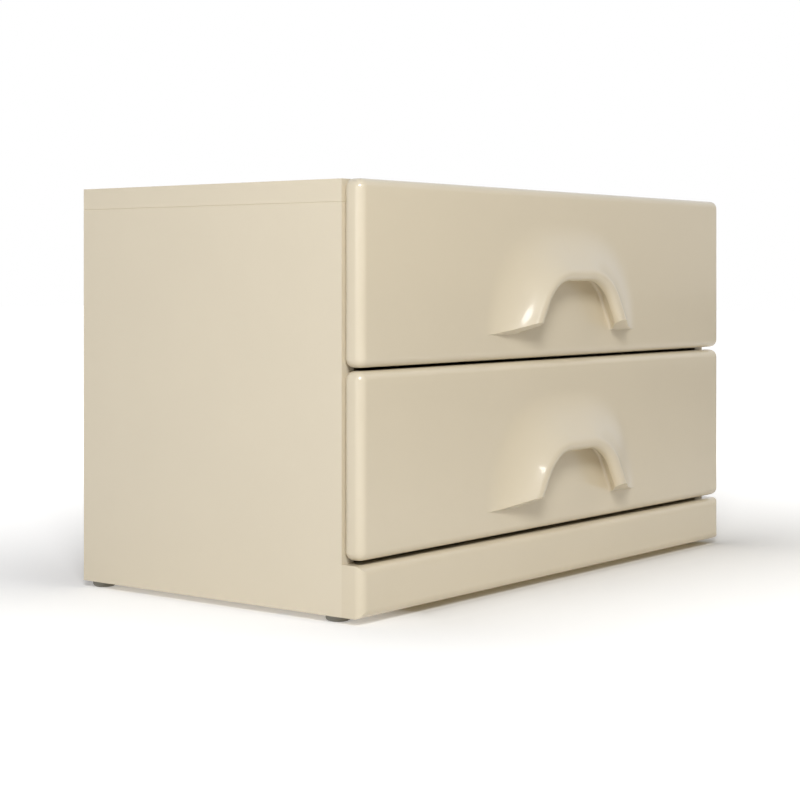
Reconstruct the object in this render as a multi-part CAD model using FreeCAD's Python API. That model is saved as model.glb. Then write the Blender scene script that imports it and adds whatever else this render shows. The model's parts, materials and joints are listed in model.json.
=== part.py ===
import FreeCAD, Part
import math
import os
from FreeCAD import Vector

# Low chest with two drawers. Millimetres, +X to the right, -Y to the front, +Z up.
# The origin is on the floor, in the middle of the width and of the depth over the hoods.

# Case boards
case_width = 700.0
case_depth = 356.0
case_height = 415.0
foot_height = 7.0
top_thickness = 22.0
bottom_thickness = 22.0
side_thickness = 18.0
back_thickness = 5.0
rabbet_width = 9.0
back_clearance = 0.5
joint_arris = 0.5

# Fronts
plinth_thickness = 24.0
seam_gap = 0.4
plinth_height = 50.0
plinth_gap = 4.0
drawer_gap = 3.0
front_edge_radius = 9.0

# Hood of a finger pull, heights from the lower edge of its front
hood_reach = 26.0
hood_foot_rise = 26.5
hood_half_width = 147.0
hood_height = 120.0
crown_half_width = 88.0
crown_height = 68.0
hood_squareness = 3.0
rim_slope = 0.46
arch_half_width = 74.5
arch_top_rise = 81.8
arch_lean = math.radians(31.0)
arch_corner_radius = 51.0
lip_depth = 9.0
lip_rounding = 4.0
inner_lip_rounding = 1.5
rim_corner_radius = 4.0

# Hollow behind the hood's lip
hollow_half_width = 97.0
hollow_lean = math.radians(26.0)
hollow_top_rise = 91.6
hollow_corner_radius = 60.0

# Drawer boxes
space_behind_box = 51.4
box_lift = 18.0
box_head_room = 9.0
box_board = 12.0
box_base_thickness = 4.0
box_base_rise = 10.0
box_groove_depth = 6.0
base_clearance = 0.3
box_dowel_radius = 3.0
box_dowel_length = 24.0
box_dowel_depth = 9.0
box_dowel_margin = 30.0

# Ball-bearing runners, of three steel channels one inside the other
runner_thickness = 12.7
runner_half_height = 22.8
runner_setback = 3.0
runner_rise_on_box = 60.0
runner_sheet = 1.2
mid_web = 1.0
flange_clearance = 0.6
ball_radius = 1.8
ball_clearance = 0.1
ball_seat = 0.4
ball_pitch = 24.0
cage_sheet = 0.4
cage_clearance = 0.35
cage_length = 150.0
cage_setback = 72.0
cage_end = 14.0
buffer_length = 4.0
buffer_half_height = 9.0
buffer_clearance = 0.5

# Fastenings
hole_clearance = 0.05
dowel_radius = 4.0
dowel_length = 35.0
dowel_in_board = 14.0
dowel_margin = 40.0
cam_margin = 80.0
cam_radius = 7.5
cam_reach = 24.0
cam_bolt_radius = 3.5
cam_bolt_neck_radius = 2.5
cam_bolt_collar = 1.0
cam_bolt_thread = 11.0
cam_bolt_clearance = 0.2
confirmat_radius = 3.2
confirmat_length = 50.0
back_screw_radius = 1.6
back_screw_length = 16.0
back_screw_margin = 30.0
runner_screw_radius = 1.8
runner_screw_length = 11.0
cabinet_screw_margin = 40.0
drawer_screw_margin = 25.0
driver_hole_radius = 4.5
bracket_sheet = 2.0
bracket_leg = 24.0
bracket_width = 20.0
bracket_inset = 120.0
bracket_screw_rise = 14.0
bracket_screw_radius = 1.8
bracket_screw_length = 15.0
insert_radius = 3.0
insert_length = 10.0
front_screw_radius = 2.0
front_screw_length = 20.0
front_screw_clearance = 0.3
front_screw_inset = 79.0
front_screw_margin = 30.0

# Glides
glide_radius = 12.3
glide_rounding = 3.6
glide_pin_radius = 1.6
glide_pin_length = 15.0
glide_side_inset = 18.0
glide_front_inset = 19.0
glide_back_inset = 13.0

# Cutting shapes reach this far past what they cut.
overcut = 1.0

# Planes that follow from the sizes
overall_depth = hood_reach + plinth_thickness + case_depth
front_face = hood_reach - overall_depth / 2
case_front = front_face + plinth_thickness
case_back = case_front + case_depth
front_back = case_front - seam_gap
front_thickness = plinth_thickness - seam_gap
hood_tip = front_face - hood_reach
lip_back = hood_tip + lip_depth
back_inside = case_back - back_thickness

half_width = case_width / 2
side_inside = half_width - side_thickness
side_middle = half_width - side_thickness / 2
box_half_width = side_inside - runner_thickness
box_half_inside = box_half_width - box_board

case_bottom = foot_height
case_top = foot_height + case_height
side_bottom = case_bottom + bottom_thickness
side_top = case_top - top_thickness
front_height = (case_height - plinth_height - plinth_gap - drawer_gap) / 2
lower_front_bottom = case_bottom + plinth_height + plinth_gap
upper_front_bottom = lower_front_bottom + front_height + drawer_gap
front_bottoms = [lower_front_bottom, upper_front_bottom]

box_back = back_inside - space_behind_box
box_length = box_back - front_back
box_height = front_height - box_lift - top_thickness - box_head_room

# Across a runner, s is measured from the side of the case. The cage of the outer balls lies
# between the cabinet's channel and the middle one, the inner cage between that and the drawer's.
drawer_web_start = runner_thickness - runner_sheet
flange_end = drawer_web_start - flange_clearance
outer_cage_start = runner_sheet + cage_clearance
mid_web_start = outer_cage_start + cage_sheet + cage_clearance
mid_web_end = mid_web_start + mid_web
inner_cage_start = mid_web_end + cage_clearance
inner_flange_start = inner_cage_start + cage_sheet + cage_clearance
ball_line = (mid_web_end + flange_end) / 2
cage_flange_end = (ball_line + ball_radius + flange_end) / 2
track_radius = ball_radius + ball_clearance
outer_ball_height = runner_half_height - runner_sheet - track_radius + ball_seat
mid_half_height = outer_ball_height - track_radius + ball_seat
inner_ball_height = mid_half_height - runner_sheet - track_radius + ball_seat
inner_half_height = inner_ball_height - track_radius + ball_seat
runner_front = case_front + runner_setback
runner_end = runner_front + box_length
moving_end = runner_end - buffer_length - buffer_clearance

RIGHT = Vector(1, 0, 0)
LEFT = Vector(-1, 0, 0)
BACKWARD = Vector(0, 1, 0)
FORWARD = Vector(0, -1, 0)
UP = Vector(0, 0, 1)
DOWN = Vector(0, 0, -1)


def block(x0, x1, y0, y1, z0, z1):
    return Part.makeBox(x1 - x0, y1 - y0, z1 - z0, Vector(x0, y0, z0))


def cylinder(start, direction, radius, length):
    return Part.makeCylinder(radius, length, start, direction)


def mirrored(shape):
    return shape.mirror(Vector(0, 0, 0), RIGHT)


def with_mirrored(shapes):
    return shapes + [mirrored(shape) for shape in shapes]


def placed(shape, point, direction):
    """Turn a shape that was made along +Z to a direction and move it to a point."""
    turned = shape.copy()
    turned.Placement = FreeCAD.Placement(point, FreeCAD.Rotation(UP, direction))
    return turned


def spread(first, last, count):
    return [first + (last - first) * i / (count - 1) for i in range(count)]


def closed_wire(points):
    return Part.makePolygon(points + [points[0]])


def save(name, solids):
    """Write one node, which is one solid or several alike."""
    shape = solids[0] if len(solids) == 1 else Part.makeCompound(solids)
    if not shape.isValid() or len(shape.Solids) != len(solids):
        raise RuntimeError(name + " is not made of valid solids")
    shape.exportStep("parts/" + name + ".step")


# Screws and dowels, each with the hole that it needs

def cross_slot(radius, top):
    """The two cuts of a cross recess in a screw head whose top is at that height."""
    width = 0.45 * radius
    depth = 0.7 * radius
    one = Part.makeBox(2 * radius, width, depth, Vector(-radius, -width / 2, top))
    other = Part.makeBox(width, 2 * radius, depth, Vector(-width / 2, -radius, top))
    return [one, other]


def flat_screw(point, direction, radius, length):
    """Countersunk screw that goes in along direction, with its head's middle at point."""
    head = Part.makeCone(2 * radius, radius, radius)
    shank = Part.makeCylinder(radius, length - 2 * radius)
    tip = Part.makeCone(radius, 0.3 * radius, radius, Vector(0, 0, length - 2 * radius))
    screw = head.fuse([shank, tip]).removeSplitter().cut(cross_slot(radius, 0))
    return placed(screw.Solids[0], point, direction)


def flat_screw_hole(point, direction, radius, length):
    wide = radius + hole_clearance
    sink = Part.makeCone(radius + wide, wide, radius)
    shank = Part.makeCylinder(wide, length + hole_clearance)
    return placed(sink.fuse(shank), point, direction)


def pan_screw(point, direction, radius, length):
    """Pan-head screw that goes in along direction, with the underside of its head at point."""
    top = -1.2 * radius
    head = Part.makeCylinder(2 * radius, -top, Vector(0, 0, top))
    rim = [e for e in head.Edges if e.Closed and abs(e.CenterOfMass.z - top) < 0.01]
    head = head.makeFillet(0.6 * radius, rim)
    tip_length = 0.5 * radius
    shank = Part.makeCylinder(radius, length - tip_length)
    tip = Part.makeCone(radius, 0.6 * radius, tip_length, Vector(0, 0, length - tip_length))
    screw = head.fuse([shank, tip]).removeSplitter().cut(cross_slot(radius, top))
    return placed(screw.Solids[0], point, direction)


def shank_hole(point, direction, radius, length):
    return cylinder(point, direction, radius + hole_clearance, length + hole_clearance)


def dowel(start, direction, radius, length):
    pin = Part.makeCylinder(radius, length)
    pin = pin.makeChamfer(0.2 * radius, [e for e in pin.Edges if e.Closed])
    return placed(pin, start, direction)


def dowel_hole(start, direction, radius, length):
    c = hole_clearance
    return cylinder(start - direction * c, direction, radius + c, length + 2 * c)


# Where the case is fastened, on the right half unless it says both

def right_dowel_starts():
    ys = spread(case_front + dowel_margin, case_back - dowel_margin, 3)
    low = [Vector(side_middle, y, side_bottom - dowel_in_board) for y in ys]
    high = [Vector(side_middle, y, side_top + dowel_in_board - dowel_length) for y in ys]
    return low + high


def right_joint_ys():
    return [case_front + cam_margin, case_back - cam_margin]


def right_confirmat_starts():
    return [Vector(side_middle, y, case_bottom) for y in right_joint_ys()]


def right_glide_feet():
    x = half_width - glide_side_inset
    return [Vector(x, case_front + glide_front_inset, 0), Vector(x, case_back - glide_back_inset, 0)]


def right_runner_heights():
    return [bottom + box_lift + runner_rise_on_box for bottom in front_bottoms]


def right_cabinet_screws(height):
    x = side_inside - runner_sheet
    ys = [runner_front + cabinet_screw_margin, runner_end - cabinet_screw_margin]
    return [Vector(x, y, height) for y in ys]


def back_screws():
    """Heads of the screws in the back's four edges, both sides."""
    in_rabbet = rabbet_width / 2
    places = []
    for z in spread(side_bottom + back_screw_margin, side_top - back_screw_margin, 4):
        places += [Vector(side * (side_inside + in_rabbet), case_back, z) for side in (-1, 1)]
    for x in spread(back_screw_margin - side_inside, side_inside - back_screw_margin, 5):
        places += [Vector(x, case_back, side_bottom - in_rabbet), Vector(x, case_back, side_top + in_rabbet)]
    return places


def bracket_xs():
    return spread(bracket_inset - half_width, half_width - bracket_inset, 3)


def down_bracket_screws():
    return [Vector(x, case_front + bracket_screw_rise, side_bottom + bracket_sheet) for x in bracket_xs()]


def forward_bracket_screws():
    return [Vector(x, case_front + bracket_sheet, side_bottom + bracket_screw_rise) for x in bracket_xs()]


# Case boards

def rabbet():
    """Room for the back, open to the rear."""
    half = side_inside + rabbet_width
    return block(-half, half, back_inside, case_back + overcut,
                 side_bottom - rabbet_width, side_top + rabbet_width)


def back_screw_holes():
    return [flat_screw_hole(place, FORWARD, back_screw_radius, back_screw_length) for place in back_screws()]


def right_confirmat_holes():
    return [flat_screw_hole(start, UP, confirmat_radius, confirmat_length)
            for start in right_confirmat_starts()]


def dowel_holes():
    return [dowel_hole(start, UP, dowel_radius, dowel_length) for start in right_dowel_starts()]


def top_panel():
    board = block(-half_width, half_width, case_front, case_back, side_top, case_top)
    low_edges = [e for e in board.Edges
                 if abs(e.CenterOfMass.z - side_top) < 0.01 and e.CenterOfMass.y < case_back - 0.01]
    board = board.makeChamfer(joint_arris, low_edges)
    bolts = [shank_hole(Vector(side_middle, y, side_top), UP, cam_bolt_radius, cam_bolt_thread)
             for y in right_joint_ys()]
    return board.cut([rabbet()] + with_mirrored(dowel_holes() + bolts) + back_screw_holes())


def right_side_panel():
    board = block(side_inside, half_width, case_front, case_back, side_bottom, side_top)
    top_edges = [e for e in board.Edges if abs(e.CenterOfMass.z - side_top) < 0.01
                 and (e.CenterOfMass.x > half_width - 0.01 or e.CenterOfMass.y < case_front + 0.01)]
    board = board.makeChamfer(joint_arris, top_edges)
    tools = [rabbet()] + dowel_holes() + back_screw_holes()
    for y in right_joint_ys():
        centre = Vector(side_inside, y, side_top - cam_reach)
        tools.append(shank_hole(centre, RIGHT, cam_radius, cam_depth()))
        bolt_way = cam_bolt_radius + 2 * cam_bolt_clearance
        tools.append(cylinder(Vector(side_middle, y, centre.z), UP, bolt_way, cam_reach + overcut))
    tools += right_confirmat_holes()
    for height in right_runner_heights():
        tools += [flat_screw_hole(place, RIGHT, runner_screw_radius, runner_screw_length)
                  for place in right_cabinet_screws(height)]
    return board.cut(tools)


def bottom_panel():
    board = block(-half_width, half_width, case_front, case_back, case_bottom, side_bottom)
    right = dowel_holes() + right_confirmat_holes()
    right += [shank_hole(foot + UP * foot_height, UP, glide_pin_radius, glide_pin_length)
              for foot in right_glide_feet()]
    down = [shank_hole(place, DOWN, bracket_screw_radius, bracket_screw_length)
            for place in down_bracket_screws()]
    return board.cut([rabbet()] + with_mirrored(right) + down + back_screw_holes())


def back_panel():
    half = side_inside + rabbet_width - back_clearance
    low = side_bottom - rabbet_width + back_clearance
    high = side_top + rabbet_width - back_clearance
    return block(-half, half, back_inside, case_back, low, high).cut(back_screw_holes())


def plinth_front():
    strip = rounded_slab(case_bottom, plinth_height, plinth_thickness, case_front)
    return strip.cut([shank_hole(place, FORWARD, bracket_screw_radius, bracket_screw_length)
                      for place in forward_bracket_screws()])


def plinth_bracket(x):
    """Steel angle between the bottom panel and the back of the plinth front."""
    half = bracket_width / 2
    leg = block(x - half, x + half, case_front, case_front + bracket_leg, side_bottom,
                side_bottom + bracket_sheet)
    upright = block(x - half, x + half, case_front, case_front + bracket_sheet, side_bottom,
                    side_bottom + bracket_leg)
    angle = leg.fuse(upright).removeSplitter()
    down = cylinder(Vector(x, case_front + bracket_screw_rise, side_bottom - overcut), UP,
                    bracket_screw_radius + hole_clearance, bracket_sheet + 2 * overcut)
    ahead = cylinder(Vector(x, case_front - overcut, side_bottom + bracket_screw_rise), BACKWARD,
                     bracket_screw_radius + hole_clearance, bracket_sheet + 2 * overcut)
    return angle.cut([down, ahead]).Solids[0]


# Fittings of the case

def cam_depth():
    return side_thickness / 2 + cam_bolt_radius


def right_cam_bolt(y):
    """Bolt of a cam fitting: its thread is in the top panel, its head in the cam."""
    joint = Vector(side_middle, y, side_top)
    thread = cylinder(joint, UP, cam_bolt_radius, cam_bolt_thread)
    collar = cylinder(joint, DOWN, cam_bolt_radius, cam_bolt_collar)
    neck = cylinder(joint, DOWN, cam_bolt_neck_radius, cam_reach)
    head = Part.makeSphere(cam_bolt_radius, joint + DOWN * cam_reach)
    return thread.fuse([collar, neck, head]).removeSplitter().Solids[0]


def right_cam_lock(y):
    """Cam let into a side panel, hollow where it grips the head of its bolt."""
    centre = Vector(side_inside, y, side_top - cam_reach)
    head = Vector(side_middle, y, centre.z)
    cam = cylinder(centre, RIGHT, cam_radius, cam_depth())
    clear = cam_bolt_radius + cam_bolt_clearance
    slot = cam_radius * 0.2
    drive = block(side_inside - overcut, side_inside + 2 * slot, y - cam_radius / 2, y + cam_radius / 2,
                  centre.z - slot / 2, centre.z + slot / 2)
    grip = [Part.makeSphere(clear, head), cylinder(head, UP, clear, cam_radius + overcut)]
    return cam.cut(grip + [drive]).Solids[0]


def glide(foot):
    """Grey plastic cap with a rounded lower rim, moulded over its pin."""
    cap = cylinder(foot, UP, glide_radius, foot_height)
    low = [e for e in cap.Edges if e.Closed and abs(e.CenterOfMass.z) < 0.01]
    return cap.makeFillet(glide_rounding, low)


def save_case():
    right = right_side_panel()
    dowels = [dowel(start, UP, dowel_radius, dowel_length) for start in right_dowel_starts()]
    confirmats = [flat_screw(start, UP, confirmat_radius, confirmat_length)
                  for start in right_confirmat_starts()]
    pins = [cylinder(foot + UP * foot_height, UP, glide_pin_radius, glide_pin_length)
            for foot in right_glide_feet()]
    bracket_screws = [pan_screw(place, DOWN, bracket_screw_radius, bracket_screw_length)
                      for place in down_bracket_screws()]
    bracket_screws += [pan_screw(place, FORWARD, bracket_screw_radius, bracket_screw_length)
                       for place in forward_bracket_screws()]
    save("top_panel", [top_panel()])
    save("bottom_panel", [bottom_panel()])
    save("right_side_panel", [right])
    save("left_side_panel", [mirrored(right)])
    save("back_panel", [back_panel()])
    save("back_panel_screws", [flat_screw(place, FORWARD, back_screw_radius, back_screw_length)
                               for place in back_screws()])
    save("plinth_front", [plinth_front()])
    save("plinth_brackets", [plinth_bracket(x) for x in bracket_xs()])
    save("plinth_bracket_screws", bracket_screws)
    save("case_dowels", with_mirrored(dowels))
    save("top_cam_bolts", with_mirrored([right_cam_bolt(y) for y in right_joint_ys()]))
    save("top_cam_locks", with_mirrored([right_cam_lock(y) for y in right_joint_ys()]))
    save("bottom_panel_screws", with_mirrored(confirmats))
    save("foot_glides", with_mirrored([glide(foot) for foot in right_glide_feet()]))
    save("glide_pins", with_mirrored(pins))


# Runners: the right one is drawn and the left one is its mirror image

def rail(s0, s1, h0, h1, y0, y1, height):
    """Bar along a right runner: s from the side of the case, h from the runner's middle."""
    return block(side_inside - s1, side_inside - s0, y0, y1, height + h0, height + h1)


def rolled_channel(web, flange, half_height, sheet, y_range, height):
    """Steel strip rolled to a C: a web with a flange along its top and its bottom."""
    bars = [rail(web[0], web[1], -half_height, half_height, y_range[0], y_range[1], height),
            rail(flange[0], flange[1], half_height - sheet, half_height, y_range[0], y_range[1], height),
            rail(flange[0], flange[1], -half_height, sheet - half_height, y_range[0], y_range[1], height)]
    return bars[0].fuse(bars[1:]).removeSplitter()


def ball_tracks(height, line):
    """Grooves for the two rows of balls that run at that height over and under the middle."""
    x = side_inside - ball_line
    start = runner_front - overcut
    length = box_length + 2 * overcut
    return [cylinder(Vector(x, start, height + side * line), BACKWARD, track_radius, length)
            for side in (-1, 1)]


def cabinet_member(height):
    member = rolled_channel((0, runner_sheet), (0, flange_end), runner_half_height, runner_sheet,
                            (runner_front, runner_end), height)
    holes = [flat_screw_hole(place, RIGHT, runner_screw_radius, runner_screw_length)
             for place in right_cabinet_screws(height)]
    return member.cut(ball_tracks(height, outer_ball_height) + holes).Solids[0]


def mid_member(height):
    member = rolled_channel((mid_web_start, mid_web_end), (mid_web_start, flange_end), mid_half_height,
                            runner_sheet, (runner_front, moving_end), height)
    driver_holes = [cylinder(Vector(side_inside - mid_web_end - overcut, place.y, height), RIGHT,
                             driver_hole_radius, mid_web + 2 * overcut)
                    for place in right_cabinet_screws(height)]
    tracks = ball_tracks(height, outer_ball_height) + ball_tracks(height, inner_ball_height)
    return member.cut(tracks + driver_holes).Solids[0]


def right_drawer_screws(height):
    x = box_half_width + runner_sheet
    ys = [runner_front + drawer_screw_margin, runner_end - drawer_screw_margin]
    return [Vector(x, y, height) for y in ys]


def drawer_screw_holes(height):
    return [flat_screw_hole(place, LEFT, runner_screw_radius, runner_screw_length)
            for place in right_drawer_screws(height)]


def drawer_member(height):
    member = rolled_channel((drawer_web_start, runner_thickness), (inner_flange_start, runner_thickness),
                            inner_half_height, runner_sheet, (runner_front, moving_end), height)
    return member.cut(ball_tracks(height, inner_ball_height) + drawer_screw_holes(height)).Solids[0]


def ball_places(height, line):
    count = int((cage_length - 2 * cage_end) / ball_pitch) + 1
    middle = runner_front + cage_setback + cage_length / 2
    reach = ball_pitch * (count - 1) / 2
    return [Vector(side_inside - ball_line, y, height + side * line)
            for y in spread(middle - reach, middle + reach, count) for side in (-1, 1)]


def cage(height, start, line):
    """Strip that keeps the balls apart: a C with a hole for each ball and a window in its web."""
    y0 = runner_front + cage_setback
    y1 = y0 + cage_length
    strip = rolled_channel((start, start + cage_sheet), (start, cage_flange_end), line + cage_sheet / 2,
                           cage_sheet, (y0, y1), height)
    window = rail(start - overcut, start + cage_sheet + overcut, -line / 2, line / 2,
                  y0 + cage_end, y1 - cage_end, height)
    holes = [cylinder(place + DOWN * cage_sheet, UP, track_radius, 2 * cage_sheet)
             for place in ball_places(height, line)]
    return strip.cut(holes + [window]).Solids[0]


def balls(height, line):
    return [Part.makeSphere(ball_radius, place) for place in ball_places(height, line)]


def save_cabinet_runners():
    heights = right_runner_heights()
    screws = [flat_screw(place, RIGHT, runner_screw_radius, runner_screw_length)
              for height in heights for place in right_cabinet_screws(height)]
    buffers = [rail(runner_sheet, flange_end, -buffer_half_height, buffer_half_height,
                    runner_end - buffer_length, runner_end, height) for height in heights]
    save("cabinet_runner_members", with_mirrored([cabinet_member(height) for height in heights]))
    save("cabinet_runner_screws", with_mirrored(screws))
    save("runner_buffers", with_mirrored(buffers))


# Fronts

def rounded_slab(bottom, height, thickness, back):
    """Slab as wide as the case, with the four edges of its front face rounded."""
    face = back - thickness
    slab = block(-half_width, half_width, face, back, bottom, bottom + height)
    return slab.makeFillet(front_edge_radius, [e for e in slab.Edges if abs(e.CenterOfMass.y - face) < 0.01])


def outline_share(x, z, half_span, rise):
    """1 on the squared ellipse with that half span and rise, less inside it, more outside."""
    n = hood_squareness
    return (abs(x / half_span) ** n + abs(z / rise) ** n) ** (1.0 / n)


def swell(x, z):
    """How far the hood stands out at x and at z above its foot: all of its reach inside the
    crown's outline, nothing outside its own, and an S-curve between the two."""
    from_crown = outline_share(x, z, crown_half_width, crown_height)
    from_edge = outline_share(x, z, hood_half_width, hood_height)
    if from_crown <= 1.0:
        return hood_reach
    if from_edge >= 1.0:
        return 0.0
    crown = 1.0 / from_crown
    edge = 1.0 / from_edge
    t = (1.0 - crown) / (edge - crown)
    return hood_reach * (1.0 - t * t * (3.0 - 2.0 * t))


def rim_height(x):
    """Height above the foot at which the hood's face meets its slanting underside."""
    low = 0.0
    high = rim_slope * hood_reach
    for _ in range(40):
        middle = (low + high) / 2
        if rim_slope * swell(x, middle) > middle:
            low = middle
        else:
            high = middle
    return (low + high) / 2


def clamped_knots(count):
    """Even knots and their multiplicities for a cubic with that many poles."""
    spans = count - 3
    return [i / spans for i in range(spans + 1)], [4] + [1] * (spans - 1) + [4]


def hood_face(foot):
    """The hood's outer face, from its rim up to where it dies into the flat of the front."""
    columns = 57
    rows = 25
    poles = []
    for x in spread(-hood_half_width, hood_half_width, columns):
        heights = spread(rim_height(x), hood_height, rows)
        poles.append([Vector(x, front_face - swell(x, z), foot + z) for z in heights])
    knots, across = clamped_knots(columns)
    rise_knots, upward = clamped_knots(rows)
    surface = Part.BSplineSurface()
    surface.buildFromPolesMultsKnots(poles, across, upward, knots, rise_knots, False, False, 3, 3)
    return surface.toShape()


def hooded_slab(bottom):
    """Front with its hood still solid: the slab's flat face has a window that the hood's face
    and its slanting underside close."""
    foot = bottom + hood_foot_rise
    slab = rounded_slab(bottom, front_height, front_thickness, front_back)
    flat = max([f for f in slab.Faces if abs(f.CenterOfMass.y - front_face) < 0.01], key=lambda f: f.Area)
    others = [f for f in slab.Faces if not f.isSame(flat)]
    corners = [Vector(-hood_half_width, front_face, foot), Vector(hood_half_width, front_face, foot),
               Vector(hood_half_width, front_face, foot + hood_height),
               Vector(-hood_half_width, front_face, foot + hood_height)]
    flat_around = flat.cut(Part.Face(closed_wire(corners))).Faces
    hood = hood_face(foot)
    rim = min(hood.Edges, key=lambda e: e.CenterOfMass.z)
    underside = Part.Face(Part.Wire([rim, Part.makeLine(corners[0], corners[1])]))
    shell = Part.makeShell(others + flat_around + [hood, underside])
    shell.sewShape()
    solid = Part.makeSolid(Part.Shell(shell.Faces))
    if solid.Volume < 0:
        solid.reverse()
    return solid


def outline(y, low, side, middle, shoulder):
    """Closed outline in the plane y, the same to the left and right. Its points are X and Z
    on the right half: a line from low to side, an arc through middle to shoulder, and a level
    line over the top."""
    def right(point):
        return Vector(point[0], y, point[1])

    def left(point):
        return Vector(-point[0], y, point[1])

    return Part.Wire([Part.makeLine(left(low), right(low)), Part.makeLine(right(low), right(side)),
                      Part.Arc(right(side), right(middle), right(shoulder)).toShape(),
                      Part.makeLine(right(shoulder), left(shoulder)),
                      Part.Arc(left(shoulder), left(middle), left(side)).toShape(),
                      Part.makeLine(left(side), left(low))])


def on_circle(centre_x, centre_z, radius, angle):
    return centre_x + radius * math.cos(angle), centre_z + radius * math.sin(angle)


def down_the_lean(point, lean, z):
    return point[0] + math.tan(lean) * (point[1] - z), z


def arch(bottom, y, half_span, span_rise, lean, corner_radius, top_rise):
    """Arch with leaning sides, round upper corners and a flat top. It is as wide as half_span
    each way at span_rise, and its heights are from the front's lower edge."""
    top = bottom + top_rise
    centre_z = top - corner_radius
    side_x = half_span - math.tan(lean) * (centre_z - bottom - span_rise)
    centre_x = side_x - corner_radius / math.cos(lean)
    side = on_circle(centre_x, centre_z, corner_radius, lean)
    middle = on_circle(centre_x, centre_z, corner_radius, math.pi / 4 + lean / 2)
    low = down_the_lean(side, lean, bottom + hood_foot_rise - overcut)
    return outline(y, low, side, middle, (centre_x, top))


def notch_outline(bottom, y):
    rim_rise = hood_foot_rise + rim_slope * hood_reach
    return arch(bottom, y, arch_half_width, rim_rise, arch_lean, arch_corner_radius, arch_top_rise)


def hollow_outline(bottom, y):
    return arch(bottom, y, hollow_half_width, hood_foot_rise, hollow_lean, hollow_corner_radius,
                hollow_top_rise)


def finger_spaces(bottom):
    """The notch through the lip and the wider hollow behind it."""
    notch = Part.Face(notch_outline(bottom, lip_back)).extrude(FORWARD * (lip_depth + overcut))
    hollow = Part.makeLoft([hollow_outline(bottom, front_face), notch_outline(bottom, lip_back)], True, True)
    return [notch, hollow]


def near_edges(shape, y, half_span):
    return [e for e in shape.Edges if abs(e.CenterOfMass.y - y) < 1.0 and abs(e.CenterOfMass.x) < half_span]


def rounded_lip(front, bottom):
    """Round the two corners where the notch meets the underside, then the lip's edges."""
    rim_foot = bottom + hood_foot_rise + rim_slope * hood_reach
    corners = [e for e in near_edges(front, hood_tip + lip_depth / 2, crown_half_width)
               if e.CenterOfMass.z < rim_foot]
    front = front.makeFillet(rim_corner_radius, corners)
    front = front.makeFillet(lip_rounding, near_edges(front, hood_tip, crown_half_width))
    inner = [e for e in near_edges(front, lip_back, arch_half_width) if e.CenterOfMass.z > rim_foot + lip_depth]
    return front.makeFillet(inner_lip_rounding, inner)


def front_moulding(bottom):
    front = hooded_slab(bottom)
    for space in finger_spaces(bottom):
        front = front.cut(space)
    return rounded_lip(front, bottom)


# Drawers

def front_screw_places(bottom):
    """Where the machine screws cross the joint between a drawer's box and its front."""
    low = bottom + box_lift
    heights = [low + front_screw_margin, low + box_height - front_screw_margin]
    x = box_half_width - front_screw_inset
    return [Vector(side * x, front_back, z) for side in (-1, 1) for z in heights]


def right_box_dowels(bottom):
    low = bottom + box_lift
    x = box_half_inside + box_dowel_depth
    return [Vector(x, y, z) for y in (front_back + box_board / 2, box_back - box_board / 2)
            for z in (low + box_dowel_margin, low + box_height - box_dowel_margin)]


def base_slab(bottom, depth, thickness):
    """The box's base, or the grooves for it, let into its four boards by that depth."""
    half = box_half_inside + depth
    y0 = front_back + box_board - depth
    y1 = box_back - box_board + depth
    low = bottom + box_lift + box_base_rise
    return block(-half, half, y0, y1, low, low + thickness)


def save_drawer(name, bottom):
    low = bottom + box_lift
    high = low + box_height
    height = low + runner_rise_on_box
    places = front_screw_places(bottom)
    insert_holes = [shank_hole(place, FORWARD, insert_radius, insert_length) for place in places]
    bore = front_screw_radius + hole_clearance
    inserts = [cylinder(place, FORWARD, insert_radius, insert_length).cut(
        cylinder(place, FORWARD, bore, insert_length)) for place in places]
    heads = [place + BACKWARD * box_board for place in places]
    screws = [pan_screw(head, FORWARD, front_screw_radius, front_screw_length) for head in heads]
    wide = front_screw_radius + front_screw_clearance
    screw_holes = [cylinder(head, FORWARD, wide, box_board) for head in heads]

    groove = base_slab(bottom, box_groove_depth, box_base_thickness + base_clearance)
    starts = right_box_dowels(bottom)
    dowels = with_mirrored([dowel(start, LEFT, box_dowel_radius, box_dowel_length) for start in starts])
    holes = with_mirrored([dowel_hole(start, LEFT, box_dowel_radius, box_dowel_length) for start in starts])
    box_front = block(-box_half_inside, box_half_inside, front_back, front_back + box_board, low, high)
    back_board = block(-box_half_inside, box_half_inside, box_back - box_board, box_back, low, high)
    right_side = block(box_half_inside, box_half_width, front_back, box_back, low, high)
    right_side = right_side.cut([groove] + holes + drawer_screw_holes(height))
    member_screws = [flat_screw(place, LEFT, runner_screw_radius, runner_screw_length)
                     for place in right_drawer_screws(height)]

    save(name + "_front_moulding", [front_moulding(bottom).cut(insert_holes).Solids[0]])
    save(name + "_front_inserts", inserts)
    save(name + "_front_screws", screws)
    save(name + "_box_front", [box_front.cut([groove] + holes + screw_holes)])
    save(name + "_box_back", [back_board.cut([groove] + holes)])
    save(name + "_box_right_side", [right_side])
    save(name + "_box_left_side", [mirrored(right_side)])
    save(name + "_box_bottom", [base_slab(bottom, box_groove_depth - base_clearance, box_base_thickness)])
    save(name + "_box_dowels", dowels)
    save(name + "_drawer_runner_members", with_mirrored([drawer_member(height)]))
    save(name + "_drawer_runner_screws", with_mirrored(member_screws))
    save(name + "_mid_runner_members", with_mirrored([mid_member(height)]))
    save(name + "_outer_ball_cages", with_mirrored([cage(height, outer_cage_start, outer_ball_height)]))
    save(name + "_outer_balls", with_mirrored(balls(height, outer_ball_height)))
    save(name + "_inner_ball_cages", with_mirrored([cage(height, inner_cage_start, inner_ball_height)]))
    save(name + "_inner_balls", with_mirrored(balls(height, inner_ball_height)))


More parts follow.
